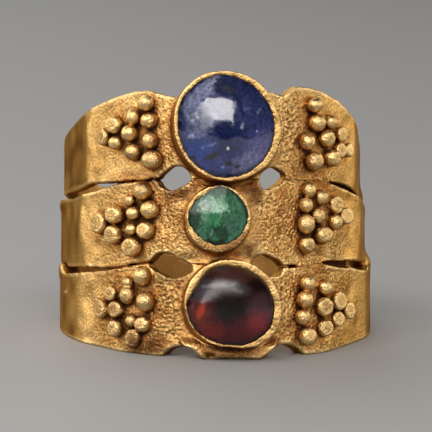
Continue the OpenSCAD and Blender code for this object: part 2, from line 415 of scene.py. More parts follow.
def sheet_distance(angle, height):
    """Signed distance on the unrolled bands to their edges, slits, eyes and nicks."""
    arc = angle * ARC
    jagged = JAGS * sample_noise(NOISE_A, arc, height, 0.9)
    distance = height - chart(TOP_EDGE, angle) + jagged
    for slit, _, _ in SLITS.values():
        opening = chart(slit, angle, 0.8, 2)
        distance = np.maximum(distance, opening / 2 - np.abs(height - chart(slit, angle)) + jagged)
    for eye in EYES:
        corners = round_corners([(a * ARC, h) for a, h in eye])
        hole = 0.06 - polygon_distance(arc, height, corners) + 1.5 * jagged
        near = (np.abs(arc) < EYES_ARC) & (np.abs(height) < EYES_HEIGHT)
        distance = np.where(near, smooth_max(distance, hole, 0.15), distance)
    right = FRONT_R * np.sin(np.radians(angle))
    front = np.cos(np.radians(angle)) > 0
    for x, z, radius in NICKS:
        nick = radius - np.hypot(right - x, height - z)
        distance = np.where(front, smooth_max(distance, nick, 0.5), distance)
    return distance


def hammered_radius(name, turned):
    """Outer radius of one band at its angles, flattened into its planes."""
    radius = np.full(turned.shape, OUTER_R[name])
    planes = [plane for bends in PLANES[name] for plane in zip(bends, bends[1:])]
    for (first, first_r), (last, last_r) in planes:
        inside = (turned >= first) & (turned <= last)
        share = np.clip((turned - first) / (last - first), 0, 1)
        arc = first_r + share * (last_r - first_r)
        begin = np.radians(share * (last - first))
        end = np.radians((1 - share) * (last - first))
        flat = first_r * last_r * math.sin(math.radians(last - first))
        flat = flat / (first_r * np.sin(begin) + last_r * np.sin(end))
        radius = np.where(inside, arc + 0.8 * (flat - arc), radius)
    return radius


def band_radius(name, angle, height):
    """Outer radius of one band, with soft bends that bow towards the front."""
    middle, half, share = BOWS[name]
    side = np.abs(angle)
    bow = smooth_step(30, 50, side) * (1 - smooth_step(70, 85, side))
    turned = angle * (1 + share * bow * np.minimum(((height - middle) / half) ** 2, 1.3))
    return sum(hammered_radius(name, turned + shift) for shift in (-BEND, 0, BEND)) / 3


def groove_weight(angle, height):
    """How deep a place lies in the grooves that closed slits leave, from 0 to 1."""
    total = 0
    for slit, groove, _ in SLITS.values():
        width = chart(groove, angle)
        within = width / 2 - np.abs(height - chart(slit, angle))
        total = total + smooth_step(-0.05, 0.06, within) * smooth_step(0, 0.1, width)
    return total


def patches(rows, angle, height):
    """How strongly a place lies in any of these patches, from 0."""
    weight = np.zeros(np.broadcast(angle, height).shape)
    for a, z, half_a, half_z, strength in rows:
        away = ((angle - a) / half_a) ** 4 + ((height - z) / half_z) ** 4
        weight = np.maximum(weight, strength * np.exp(-away))
    return weight


def grain_weight(angle, height):
    """How rough the gold is: most between the stones and the granules."""
    rows = FINE_PATCHES + COARSE_PATCHES + RIDGED_PATCHES
    uneven = 0.85 + 0.2 * sample_noise(NOISE_B, angle * ARC + 40, height, 2.2)
    return np.clip(0.08 + patches(rows, angle, height) * uneven, 0, 1.1)


# Angles at which the flanks begin, on the left and on the right
LEFT_FLANK = 61
RIGHT_FLANK = 71


def tarnish_and_shade_weight(angle, height):
    """Brown tarnish in blots, darker brown on the flanks where the bands turn away, and painted shade in
    patches.
    """
    side = np.abs(angle)
    start = np.where(angle < 0, LEFT_FLANK, RIGHT_FLANK)
    flank = smooth_step(0, 8, side - start) * (1 - 0.75 * smooth_step(95, 130, side))
    streaks = sample_noise(NOISE_B, angle * ARC, height * 0.8, 1.5)
    blots = sample_noise(NOISE_A, angle * ARC + 60, height, 2.4)
    low = 0.72 + 0.28 * smooth_step(0, 4, height)
    painted_shade = patches(PAINTED_SHADE_PATCHES, angle, height)
    return np.clip(flank * low * (0.58 + 0.14 * streaks + 0.14 * blots) + painted_shade + 0.07 * blots, 0, 1)


def solder_relief(angle, height):
    """Height of the lumps, creases, grains and pits that the solder left."""
    arc = angle * ARC
    coarse, ridged, fine = (
        patches(rows, angle, height) for rows in (COARSE_PATCHES, RIDGED_PATCHES, FINE_PATCHES)
    )
    relief = (0.003 + 0.017 * coarse + 0.009 * fine) * sample_noise(NOISE_C, arc, height, 0.23)
    pits = np.clip(sample_noise(NOISE_B, arc + 50, height, 0.34) - 1.0, 0, 1.2)
    relief = relief - (0.05 * coarse + 0.035 * fine + 0.03 * ridged) * pits
    relief = relief + 0.005 * (coarse + fine) * sample_noise(NOISE_A, arc + 31, height, 0.6)
    crease = np.abs(sample_noise(NOISE_B, 0.45 * arc + 17, height, 0.5))
    return relief + ridged * (0.035 - 0.065 * np.minimum(crease, 1))


def outer_radius(angle, height):
    """Outer radius of the stack: steps between bands, hammered planes, lips, waves, relief and lobe."""
    radius = band_radius("middle", angle, height)
    for name, (slit, groove, way) in SLITS.items():
        closed = smooth_step(0, -0.3, chart(slit, angle, 0.8, 2))
        half = 0.15 + 0.5 * (closed * (1 - smooth_step(0, 0.1, chart(groove, angle))))
        share = smooth_step(0, 1, 0.5 + 0.5 * way * (height - chart(slit, angle)) / half)
        radius = radius + share * (band_radius(name, angle, height) - radius)
    side = np.abs(angle)
    calm = 1 - 0.85 * smooth_step(60, 70, side) * (1 - smooth_step(95, 110, side))
    radius = radius + 0.022 * calm * sample_noise(NOISE_A, angle * ARC, height, 3.4)
    radius = radius + 0.012 * calm * sample_noise(NOISE_B, angle * ARC, height, 1.3)
    radius = radius + solder_relief(angle, height)
    radius = radius - GROOVE_DEPTH * groove_weight(angle, height)

    x, z, lobe_r, front = LOBE
    turn = np.radians(np.clip(angle, -40, 40))
    lobe = smooth_step(-0.12, 0.12, lobe_r - np.hypot(front * np.tan(turn) - x, height - z))
    lobe = lobe * smooth_step(-7.7, -8.6, height)
    radius = radius + lobe * np.maximum(front / np.cos(turn) - radius, 0)
    for a, z, half_a, half_z, out in LIPS:
        radius = radius + out * np.exp(-((angle - a) / half_a) ** 2 - ((height - z) / half_z) ** 2)
    widest = SIDE_LIMIT / np.maximum(np.abs(np.sin(np.radians(angle))), 0.5)
    return smooth_min(radius, widest, 0.05)


# Granules: angle, height, radius, and how each is worn:
# 0 round, 1 a small flat, 2 a broad flat, 3 worn down to a disc, 4 melted low
GRANULES = {
    "upper": [
        (-30.1, 8.1, 0.58, 0), (-28.9, 6.9, 0.56, 0), (-28.5, 5.55, 0.6, 0), (-27.7, 4.2, 0.68, 0),
        (-35.5, 7.2, 0.54, 0), (-36.8, 6.1, 0.63, 0), (-35.5, 4.8, 0.58, 0), (-44.1, 6.75, 0.6, 2),
        (-43.6, 5.5, 0.52, 1), (-50.2, 6, 0.6, 3), (35.3, 8.1, 0.6, 0), (36.3, 6.9, 0.64, 0),
        (31.5, 5.55, 0.6, 0), (34.8, 4.25, 0.72, 1), (44.3, 7.05, 0.52, 4), (41.4, 5.9, 0.62, 1),
        (44.2, 4.55, 0.66, 1), (51.5, 6.3, 0.54, 3), (50.6, 5.2, 0.56, 3), (57.3, 5.3, 0.5, 3),
    ],
    "middle": [
        (-30.4, 2.1, 0.66, 0), (-27.7, 0.8, 0.64, 0), (-29.3, -0.6, 0.62, 1), (-34.8, -1.7, 0.7, 2),
        (-36.1, 1.5, 0.38, 0), (-34.4, 0.6, 0.46, 0), (-35.2, -0.5, 0.46, 0), (-42.1, 0.55, 0.64, 1),
        (-43, -0.8, 0.64, 2), (-50.2, 0.05, 0.72, 3), (31.1, 2.25, 0.56, 0), (29.7, 1.2, 0.56, 0),
        (29.7, -0.1, 0.66, 0), (30.1, -1.55, 0.6, 1), (37.4, 1.8, 0.56, 4), (35.5, 0.5, 0.6, 4),
        (37.4, -0.8, 0.7, 1), (45.2, 1.35, 0.64, 3), (44.1, 0.15, 0.54, 0), (51.5, 0.65, 0.62, 3),
    ],
    "lower": [
        (-30.2, -3.7, 0.66, 0), (-28.9, -5.45, 0.68, 0), (-30.2, -6.95, 0.54, 1), (-34.2, -7.9, 0.66, 3),
        (-36.6, -4.1, 0.42, 4), (-36.6, -4.95, 0.56, 4), (-35, -6.7, 0.44, 4), (-43.9, -4.8, 0.52, 3),
        (-41.7, -5.9, 0.64, 3), (-41.6, -7.2, 0.58, 2), (-48.5, -5.85, 0.66, 3), (29.9, -4.15, 0.58, 0),
        (28.6, -5.25, 0.62, 0), (27.8, -6.45, 0.6, 0), (29.8, -7.75, 0.68, 1), (38.5, -4.4, 0.56, 4),
        (37.3, -5.7, 0.68, 2), (37.8, -7.15, 0.62, 2), (46, -5.25, 0.66, 3), (45.4, -6.5, 0.58, 3),
        (52, -5.85, 0.62, 3),
    ],
}

# How each kind of wear sits: height of the centre over the face, depth of the flat, its turn outwards
# on the left and on the right, fillet of solder, height of the lumps
WEAR = {
    0: (0.62, 9, 0, 0, 0.08, 0.006),
    1: (0.6, 0.78, 4, -3, 0.08, 0.01),
    2: (0.56, 0.62, 6, -6, 0.08, 0.01),
    3: (0.32, 0.44, 12, -8, 0.07, 0.01),
    4: (0.36, 9, 0, 0, 0.18, 0.006),
}
# Size of the granules on the right against the sizes in the table
RIGHT_SIZE = 0.94
FIRST_SEED = 100


# The grid that the gold is worked out on: it follows the wall, and is finer at the front

FINE_STEP = 0.4
COARSE_STEP = 1.0
HEIGHT_STEP = 0.075
RADIUS_STEP = 0.075
LOWEST = -9.75
HIGHEST = 10.3
NEAREST = 9.2
FARTHEST = 12.45


def angle_nodes():
    """Angles of the grid, dense at the front and sparse at the back."""
    fine = np.linspace(-180, 180, 4001)
    step = FINE_STEP + (COARSE_STEP - FINE_STEP) * smooth_step(60, 82, np.abs(fine))
    count = np.concatenate([[0], np.cumsum(np.diff(fine) * 0.5 * (1 / step[1:] + 1 / step[:-1]))])
    total = int(round(count[-1]))
    return np.interp(np.arange(total) * count[-1] / total, count, fine)


def window(nodes, low, high):
    """The stretch of a grid axis between two values."""
    return slice(int(np.searchsorted(nodes, low)), int(np.searchsorted(nodes, high)) + 1)


def block(axes, angle, degrees, height, reach, near, far):
    """A block of the grid, and the turns, rises and radii in it, shaped to match."""
    a = window(axes[0], angle - degrees, angle + degrees)
    z = window(axes[1], height - reach, height + reach)
    r = window(axes[2], near, far)
    turn = np.radians(axes[0][a] - angle)[:, None, None]
    return (a, z, r), turn, (axes[1][z] - height)[None, :, None], axes[2][r][None, None, :]


def add_granule(field, axes, face, row, seed):
    """Joins one granule to the field, with a fillet of solder."""
    angle, height, radius, worn = row
    rng = np.random.default_rng(seed)
    sit, flat_depth, turn_left, turn_right, fillet, lump = WEAR[worn]
    radius = radius * (RIGHT_SIZE if angle > 0 else 1)
    centre_r = face + sit * radius
    reach = radius + 0.35
    degrees = math.degrees(reach / centre_r)
    part, turn, up, far = block(axes, angle, degrees, height, reach, centre_r - reach, centre_r + reach)
    out = far * np.cos(turn) - centre_r
    across = far * np.sin(turn)
    stretch = 1 + 0.05 * rng.standard_normal(3)
    ball = np.sqrt((out * stretch[0]) ** 2 + (across * stretch[1]) ** 2 + (up * stretch[2]) ** 2) - radius
    ball = ball + lump * sample_noise(NOISE_C, across + 0.5 * out + 3.7 * seed, up + 0.5 * out, 0.5)
    outward = math.radians((-turn_left if angle < 0 else turn_right) + rng.uniform(-7, 7))
    rise = math.radians(rng.uniform(-7, 7))
    plane = out * math.cos(outward) + across * math.sin(outward) + up * math.sin(rise)
    ball = smooth_max(ball, plane - flat_depth * radius, 0.06)
    field[part] = smooth_min(field[part], ball, fillet)


# Collets: place to the right and up, and the rim's distance from the finger's axis
COLLETS = {"blue": (-0.1, 6.24, 12.68), "green": (-0.55, 0.06, 12.08), "red": (0.19, -5.73, 12.58)}

# Each collet's outline: turn from the right in degrees, anticlockwise, radius outside, width of its rim
OUTLINES = {
    "blue": [
        (0, 3.64, 0.49), (15, 3.55, 0.39), (30, 3.49, 0.32), (45, 3.64, 0.44), (60, 3.72, 0.44),
        (75, 3.74, 0.39), (90, 3.78, 0.28), (105, 3.86, 0.28), (120, 3.9, 0.31), (135, 3.84, 0.31),
        (150, 3.83, 0.27), (165, 3.7, 0.27), (180, 3.62, 0.27), (210, 3.57, 0.27), (240, 3.67, 0.27),
        (270, 3.72, 0.28), (300, 3.71, 0.36), (315, 3.76, 0.44), (330, 3.73, 0.5), (345, 3.69, 0.5),
    ],
    "green": [
        (0, 2.08, 0.25), (30, 2.15, 0.33), (60, 2.22, 0.31), (90, 2.31, 0.18), (120, 2.29, 0.38),
        (150, 2.31, 0.22), (180, 2.31, 0.15), (210, 2.35, 0.44), (240, 2.35, 0.57), (270, 2.28, 0.5),
        (300, 2.22, 0.52), (330, 2.12, 0.36),
    ],
    "red": [
        (0, 3.34, 0.5), (30, 3.17, 0.49), (60, 3.07, 0.5), (90, 3.05, 0.42), (120, 3.14, 0.33),
        (150, 3.22, 0.54), (165, 3.21, 0.4), (180, 3.2, 0.15), (210, 3.13, 0.16), (240, 3, 0.23),
        (270, 2.86, 0.21), (285, 3.04, 0.24), (300, 3.28, 0.45), (330, 3.5, 0.5), (345, 3.44, 0.55),
    ],
}
# Distances from the finger's axis: the collets' floors, and the back and front of the solder at their feet
SEAT = 11.0
FOOT_BACK = 9.62
FOOT_FRONT = 11.6
FOOT_FILLET = 0.28
# Half the size of the block of the grid that holds a collet's foot
FOOT_REACH = 4.4


def collet_outline(name, turn):
    """Outer radius and inner radius of a collet's rim, at turns in radians."""
    degrees = np.degrees(turn)
    outer = chart(OUTLINES[name], degrees, 5)
    return outer, outer - chart(OUTLINES[name], degrees, 4, 2)


def add_collet_foot(field, axes, name):
    """Joins the floor of a collet, and the solder at the foot of its wall."""
    x, z, _ = COLLETS[name]
    degrees = math.degrees(math.asin((FOOT_REACH + abs(x)) / 9.6))
    part, turn, up, far = block(axes, 0, degrees, z, FOOT_REACH, 9.4, FARTHEST)
    right = far * np.sin(turn) - x
    front = far * np.cos(turn)
    size = collet_outline(name, np.arctan2(up, right))[0]
    out = np.hypot(right, up)
    plug = np.maximum(out - size + 0.05, np.maximum(front - SEAT, FOOT_BACK - front))
    wall = np.maximum(np.abs(out - size + 0.17) - 0.1, np.maximum(front - FOOT_FRONT, FOOT_BACK - front))
    field[part] = smooth_min(field[part], np.minimum(plug, wall), FOOT_FILLET)


def gold_field(axes):
    """Signed distance to the soldered gold on the whole grid."""
    angle, height = np.meshgrid(axes[0], axes[1], indexing="ij")
    rounding = 0.13
    sheet = (sheet_distance(angle, height) + rounding)[:, :, None]
    outer = outer_radius(angle, height)[:, :, None]
    inner = BORE_R + 0.02 + 0.015 * (1 + sample_noise(NOISE_B, angle * ARC, height, 1.7))[:, :, None]
    radius = axes[2][None, None, :]
    wall = np.maximum(radius - outer, inner - radius) + rounding
    field = np.hypot(np.maximum(sheet, 0), np.maximum(wall, 0)) + np.minimum(np.maximum(sheet, wall), 0)
    field = (field - rounding).astype(np.float32)
    rows = [(OUTER_R[band], row) for band in GRANULES for row in GRANULES[band]]
    for seed, (face, row) in enumerate(rows, FIRST_SEED):
        add_granule(field, axes, face, row, seed)
    for name in COLLETS:
        add_collet_foot(field, axes, name)
    turn = np.radians(axes[0])[:, None, None]
    floor = -(REST_HEIGHT + radius * np.cos(turn) * LEAN_SIN + axes[1][None, :, None] * LEAN_COS)
    rounding = 0.1 + 0.25 * np.exp(-(turn / 0.22) ** 2)
    return smooth_max(field, floor.astype(np.float32), rounding).astype(np.float32)


def box_blur(volume, cells, axis, wrap):
    """Mean over a run of cells along one axis."""
    pad = [(0, 0)] * 3
    pad[axis] = (cells + 1, cells)
    padded = np.pad(volume, pad, mode="wrap" if wrap else "edge")
    total = np.cumsum(padded, axis=axis, dtype=np.float32)
    count = np.arange(volume.shape[axis])
    run = 2 * cells + 1
    return (np.take(total, run + count, axis=axis) - np.take(total, count, axis=axis)) / run


# Half the size, in cells, of the block that is searched for each value of how crowded a place is
CROWDED_CELLS = {"hollow": 9, "crevice": 5, "pit": 2}


def crowding(field, cells):
    """Share of gold in a small block round each node: half on a plain face, more in a crevice."""
    solid = np.clip(0.5 - field / 0.1, 0, 1).astype(np.float32)
    for axis in range(3):
        solid = box_blur(solid, cells, axis, axis == 0)
    return solid


def sample_grid(volume, place):
    """Values of a grid at places given in cells; the first axis goes round."""
    base = np.floor(place).astype(int)
    part = place - base
    total = np.zeros(len(place))
    for bits in product((0, 1), repeat=3):
        bits = bits[::-1]
        weight = np.ones(len(place))
        for k in range(3):
            weight = weight * (part[:, k] if bits[k] else 1 - part[:, k])
        at = base + bits
        at[:, 0] %= volume.shape[0]
        at[:, 1:] = np.clip(at[:, 1:], 0, np.array(volume.shape[1:]) - 1)
        total += weight * volume[tuple(at.T)]
    return total


def dual_mesh(field):
    """Vertices, in cells, and quads of the surface where the field is zero."""
    wrapped = np.concatenate([field, field[:1]], axis=0)
    inside = wrapped < 0
    n_a, n_z, n_r = (size - 1 for size in wrapped.shape)
    count = np.zeros((n_a, n_z, n_r), np.uint8)
    for a, z, r in product((0, 1), repeat=3):
        count += inside[a:a + n_a, z:z + n_z, r:r + n_r]
    active = (count > 0) & (count < 8)
    cells = np.argwhere(active)
    index = np.full(active.shape, -1, np.int64)
    index[active] = np.arange(len(cells))

    total = np.zeros((len(cells), 3))
    crossings = np.zeros(len(cells))
    for axis, shift in product(range(3), product((0, 1), repeat=3)):
        if shift[axis]:
            continue
        low = cells + shift
        high = low.copy()
        high[:, axis] += 1
        v0 = wrapped[tuple(low.T)].astype(float)
        v1 = wrapped[tuple(high.T)].astype(float)
        crossed = (v0 < 0) != (v1 < 0)
        spot = low.astype(float)
        spot[:, axis] += np.where(crossed, v0 / np.where(crossed, v0 - v1, 1), 0)
        total += spot * crossed[:, None]
        crossings += crossed

    quads = []
    for axis in range(3):
        low = inside[:-1, :-1, :-1]
        edges = np.argwhere(low != np.roll(inside, -1, axis)[:-1, :-1, :-1])
        faces = []
        for across, along in ((-1, -1), (0, -1), (0, 0), (-1, 0)):
            at = edges + np.roll((0, across, along), axis)
            faces.append(index[at[:, 0] % n_a, at[:, 1], at[:, 2]])
        faces = np.stack(faces, axis=1)
        turned = ~low[tuple(edges.T)]
        faces[turned] = faces[turned][:, ::-1]
        quads.append(faces)
    return total / crossings[:, None], np.concatenate(quads)


def plain_columns(axes, distance):
    """Blocks of three by three columns of the grid that lie deep in a band's sheet."""
    deep = (distance[:-1, :-1] < -0.3) & (distance[1:, 1:] < -0.3)
    deep = np.concatenate([deep, np.zeros((1, deep.shape[1]), bool)])
    count_a = len(deep) // 3 * 3
    count_z = deep.shape[1] // 3 * 3
    blocks = deep[:count_a, :count_z].reshape(count_a // 3, 3, count_z // 3, 3).all(axis=(1, 3))
    plain = np.zeros((len(axes[0]), len(axes[1])), bool)
    plain[:count_a, :count_z] = np.repeat(np.repeat(blocks, 3, axis=0), 3, axis=1)
    return plain


def value_along(axis, cells):
    """Values of a grid axis at places in cells."""
    return np.interp(cells, np.arange(len(axis)), axis)


# Radius between the wall's inside and its outside, and the angle from which the back is plain
WALL_MIDDLE = 9.8
PLAIN_FROM = 98


def thin_out(place, quads, axes, plain):
    """Merges the vertices of plain blocks on the inside wall and on the back's outside wall."""
    column = np.floor(place[:, :2]).astype(int)
    angle = axes[0][column[:, 0] % len(axes[0])]
    inside_wall = value_along(axes[2], place[:, 2]) < WALL_MIDDLE
    hidden = inside_wall | (np.abs(angle) > PLAIN_FROM)
    merges = plain[column[:, 0] % len(plain), column[:, 1]] & hidden
    group = column // 3
    label = (group[:, 0] * len(axes[1]) + group[:, 1]) * 2 + inside_wall
    label = np.where(merges, label + len(place), np.arange(len(place)))
    new = np.unique(label, return_inverse=True)[1].reshape(-1)
    count = np.bincount(new)
    merged = np.stack([np.bincount(new, weights=place[:, k]) / count for k in range(3)], axis=1)
    faces = new[quads]
    repeated = faces == np.roll(faces, 1, axis=1)
    corners = 4 - repeated.sum(axis=1)
    cut = corners == 3
    return merged, faces[corners == 4], faces[cut][~repeated[cut]].reshape(-1, 3)


def settle(place, field):
    """Moves places in cells onto the surface where the field is zero, where its slope is clear."""
    value = sample_grid(field, place)
    slope = np.zeros(place.shape)
    for axis, step in enumerate(0.5 * np.eye(3)):
        slope[:, axis] = sample_grid(field, place + step) - sample_grid(field, place - step)
    steep = (slope ** 2).sum(axis=1)
    share = np.where(steep > 0.6 * RADIUS_STEP ** 2, value / np.maximum(steep, 1e-9), 0)
    return place - np.clip(share[:, None] * slope, -0.4, 0.4)


# How near a cut its corners lie, in cells, and how near the gold's face those that move lie, in mm
SEAM_CELLS = 0.8
SEAM_DEPTH = 0.07


def close_seam(place, field, line, axes):
    """Moves the corners beside a cut, given as a height at each angle, onto the cut and the gold's face."""
    height = (value_along(line, place[:, 0]) - LOWEST) / HEIGHT_STEP
    beside = np.abs(place[:, 1] - height) < SEAM_CELLS
    moved = place.copy()
    moved[:, 1] = np.where(beside, height, place[:, 1])
    outwards = np.where(value_along(axes[2], place[:, 2]) > 9.9, 1, -1)
    for _ in range(2):
        value = sample_grid(field, moved)
        on_face = beside & (np.abs(value) < SEAM_DEPTH)
        moved[:, 2] -= np.where(on_face, outwards * value / RADIUS_STEP, 0)
    return moved


def grid_to_ring(place, axes):
    """Places in cells to ring millimetres, with their angle, height and radius."""
    angle = value_along(np.append(axes[0], axes[0][0] + 360), place[:, 0])
    height = value_along(axes[1], place[:, 1])
    radius = value_along(axes[2], place[:, 2])
    turn = np.radians(angle)
    return np.stack([radius * np.sin(turn), -radius * np.cos(turn), height], axis=1), angle, height, radius


# Making Blender objects

# The rigid body that every piece rides
BODY = "root"


def make_piece(name, points, faces, node, slot, material, values, flat=None):
    """A mesh piece of ring millimetres that stands for a node, with values at its points."""
    mesh = bpy.data.meshes.new(name)
    mesh.from_pydata((CENTRE + MM * points @ RING_AXES).tolist(), [], faces)
    for key, numbers in values.items():
        numbers = np.asarray(numbers, np.float32)
        if numbers.ndim == 2:
            layer = mesh.attributes.new(key, "FLOAT_COLOR", "POINT")
            opaque = np.ones((len(numbers), 1), np.float32)
            layer.data.foreach_set("color", np.concatenate([numbers, opaque], axis=1).ravel())
        else:
            layer = mesh.attributes.new(key, "FLOAT", "POINT")
            layer.data.foreach_set("value", numbers)
    smooth = np.ones(len(mesh.polygons), bool)
    if flat is not None:
        smooth[flat] = False
    mesh.polygons.foreach_set("use_smooth", smooth)
    mesh.materials.append(material)
    mesh.update()
    piece = add_object(name, mesh)
    LIT[slot if slot in LIT else "other_gems"].objects.link(piece)
    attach(piece, BODY)
    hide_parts(node)


# Ranges over which looks pass over: angle from the stones to the shoulders, height over the bands' face,
# radius from the outside to the inside
SHOULDERS = (24, 26)
STANDING_OUT = (0.1, 0.6)
INSIDE = (10.1, 9.7)
# A face whose middle lies deeper in the gold than this was made by a cut
CUT_DEPTH = 0.04


def build_bands(material):
    """The soldered gold, as one piece for each band."""
    axes = (
        angle_nodes(),
        np.arange(LOWEST, HIGHEST, HEIGHT_STEP),
        np.arange(NEAREST, FARTHEST, RADIUS_STEP),
    )
    field = gold_field(axes)
    crowded = {key: crowding(field, cells) for key, cells in CROWDED_CELLS.items()}
    angle, height = np.meshgrid(axes[0], axes[1], indexing="ij")
    bottom = -(REST_HEIGHT + BORE_R * np.cos(np.radians(angle)) * LEAN_SIN) / LEAN_COS
    sheet = np.maximum(sheet_distance(angle, height), bottom + 0.3 - height)
    lines = {name: chart(slit, axes[0]) for name, (slit, _, _) in SLITS.items()}
    # Each band's cuts, and the way from them that is cut off
    cuts = {
        "upper_band": [("upper", -1)],
        "middle_band": [("upper", 1), ("lower", -1)],
        "lower_band": [("lower", 1)],
    }
    for name, sides in cuts.items():
        part = field
        band_sheet = sheet
        for slit, way in sides:
            side = way * (height - lines[slit][:, None])
            part = np.maximum(part, side[:, :, None].astype(np.float32))
            band_sheet = np.maximum(band_sheet, side)
        place, quads = dual_mesh(part)
        place = settle(place, part)
        for slit, _ in sides:
            place = close_seam(place, field, lines[slit], axes)
        place, quads, triangles = thin_out(place, quads, axes, plain_columns(axes, band_sheet))
        points, at_angle, at_height, at_radius = grid_to_ring(place, axes)
        above_face = at_radius - outer_radius(at_angle, at_height)
        soiled_and_shaded = patches(SOIL_AND_SHADE_PATCHES, at_angle, at_height) - patches(LESS_SOIL_AND_SHADE_PATCHES, at_angle, at_height)
        values = {
            "proud": smooth_step(*SHOULDERS, np.abs(at_angle)) * smooth_step(*STANDING_OUT, above_face),
            "grain": grain_weight(at_angle, at_height),
            "tarnish_and_shade": tarnish_and_shade_weight(at_angle, at_height),
            "brown": patches(BROWN_PATCHES, at_angle, at_height),
            # The grooves of closed slits get painted shade, as if a lip overhung them
            "soiled_and_shaded": np.maximum(soiled_and_shaded, 1.2 * groove_weight(at_angle, at_height)),
            "stained": patches(STAINED_PATCHES, at_angle, at_height),
            "inside": smooth_step(*INSIDE, at_radius),
        }
        values |= {key: sample_grid(volume, place) for key, volume in crowded.items()}
        on_cut = np.flatnonzero(sample_grid(field, place[quads].mean(axis=1)) < -CUT_DEPTH)
        faces = quads.tolist() + triangles.tolist()
        make_piece(name, points, faces, "gold_bands", "gold", material, values, on_cut)


def ring_quad(ring, next_ring, i, steps):
    """One face between two rings of points."""
    j = (i + 1) % steps
    return ring * steps + i, next_ring * steps + i, next_ring * steps + j, ring * steps + j


COLLET_STEPS = 400
# Distance of a collet wall's back edge from the finger's axis
WALL_BACK = 9.9


def build_collet(name, material):
    """A thin collet about its stone, whose rim is burnished over the stone's edge."""
    x, z, rim = COLLETS[name]
    turn = np.arange(COLLET_STEPS) * 2 * math.pi / COLLET_STEPS
    outer, inner = collet_outline(name, turn)
    round_x = 3.3 * np.cos(turn) + 5 * z
    round_z = 3.3 * np.sin(turn)
    outer = outer - 0.02 * np.abs(sample_noise(NOISE_A, round_x, round_z, 1.9))
    inner = inner + 0.03 * np.tanh(2 * sample_noise(NOISE_B, round_x, round_z, 0.8))
    inner = inner + 0.014 * sample_noise(NOISE_C, round_x, round_z, 0.32)
    top = rim + 0.02 * sample_noise(NOISE_A, round_x, round_z, 1.7) - 0.02
    wide = outer - inner
    # The wall's section from its back, over the rim and back inside: radius, distance from the finger's
    # axis, crevice value, grain. The crevice values are set, not measured: high ones paint shade on the
    # wall's foot and under the rim, low ones make the rim's top paler
    section = [
        (outer + 0.03, WALL_BACK, 0.72, 1),
        (outer + 0.03, 10.9, 0.66, 1),
        (outer + 0.01, 11.5, 0.57, 0.8),
        (outer, top - 0.6, 0.5, 0.3),
        (outer, top - 0.25, 0.48, 0.3),
        (outer - 0.005, top - 0.08, 0.46, 0.3),
        (outer - 0.02, top - 0.025, 0.42, 0.3),
        (outer - 0.05, top, 0.39, 0.3),
        (outer - 0.35 * wide, top + 0.01, 0.4, 0.3),
        (outer - 0.65 * wide, top, 0.42, 0.3),
        (inner + 0.035, top - 0.005, 0.4, 0.3),
        (inner + 0.01, top - 0.03, 0.44, 0.3),
        (inner, top - 0.08, 0.7, 0.3),
        (inner + 0.02, top - 0.24, 0.88, 0.3),
        (outer - 0.12, top - 0.7, 0.88, 0.3),
        (outer - 0.25, WALL_BACK, 0.88, 0.3),
    ]
    rows = []
    for k, (radius, front, _, _) in enumerate(section):
        if 3 <= k <= 11:
            radius = radius - np.abs(0.008 * sample_noise(NOISE_C, round_x + 3 * k, round_z, 0.5))
        if 7 <= k <= 10:
            front = front - 0.012 * np.abs(sample_noise(NOISE_A, round_x + k, round_z, 0.4))
        places = np.broadcast_arrays(x + radius * np.cos(turn), -front, z + radius * np.sin(turn))
        rows.append(np.stack(places, axis=1))
    points = np.concatenate(rows)
    count = len(rows)
    around = range(COLLET_STEPS)
    faces = [ring_quad(k, (k + 1) % count, i, COLLET_STEPS) for k in range(count) for i in around]
    zero = np.zeros(len(points))
    crevice = np.repeat([row[2] for row in section], COLLET_STEPS)
    # Painted shade on the red collet's lower wall, as soil and darker brown
    low_side = smooth_step(0.6, 0.95, -np.tile(np.sin(turn + 0.15), count)) * (name == "red")
    wall = np.repeat([1] * 5 + [0.4] + [0] * (count - 6), COLLET_STEPS)
    # Painted shade: the collet darker towards its bottom and its right, away from the light
    below = smooth_step(-0.3, 0.9, -np.sin(turn)) + 0.6 * smooth_step(-0.2, 0.6, np.cos(turn))
    below = np.tile(below + 0.15 * sample_noise(NOISE_B, round_x, round_z, 1.1), count)
    values = {
        "hollow": crevice,
        "crevice": crevice,
        "pit": zero + 0.5,
        "proud": zero,
        "grain": np.repeat([row[3] for row in section], COLLET_STEPS),
        # Some tarnish, with the painted shade of the low side and of the red collet's wall
        "tarnish_and_shade": np.clip(0.12 + 0.38 * below + 0.3 * low_side * wall, 0, 1),
        "soiled_and_shaded": low_side * wall,
        "stained": 0.3 * wall,
        # Painted shade on the green collet's lower side
        "brown": np.tile(0.7 * smooth_step(0.35, 0.9, -np.sin(turn - 0.2)), count) * (name == "green"),
        "inside": zero,
    }
    make_piece(name + "_collet", points, faces, "gold_bands", "gold", material, values)


# Helpers for materials

def node(tree, kind, **settings):
    made = tree.nodes.new(kind)
    for key, value in settings.items():
        setattr(made, key, value)
    return made


def plug(socket, value):
    """Links an output, or sets the socket to a number or a colour."""
    if isinstance(value, (int, float)):
        socket.default_value = value
    elif isinstance(value, tuple):
        socket.default_value = (*value, 1)
    else:
        socket.id_data.links.new(value.socket, socket)


class Output:
    """The output of a shader node, which further nodes can add to, multiply and ramp."""

    def __init__(self, socket):
        self.socket = socket

    def combine(self, operation, other):
        made = node(self.socket.id_data, "ShaderNodeMath", operation=operation)
        plug(made.inputs[0], self)
        plug(made.inputs[1], other)
        return Output(made.outputs[0])

    def __add__(self, other):
        return self.combine("ADD", other)

    def __mul__(self, other):
        return self.combine("MULTIPLY", other)

    def ramp(self, low, high):
        """0 at low, 1 at high, with soft ends."""
        made = node(self.socket.id_data, "ShaderNodeMapRange", interpolation_type="SMOOTHSTEP")
        made.inputs["From Min"].default_value = low
        made.inputs["From Max"].default_value = high
        plug(made.inputs["Value"], self)
        return Output(made.outputs["Result"])


def attribute(tree, name, output="Fac"):
    return Output(node(tree, "ShaderNodeAttribute", attribute_name=name).outputs[output])


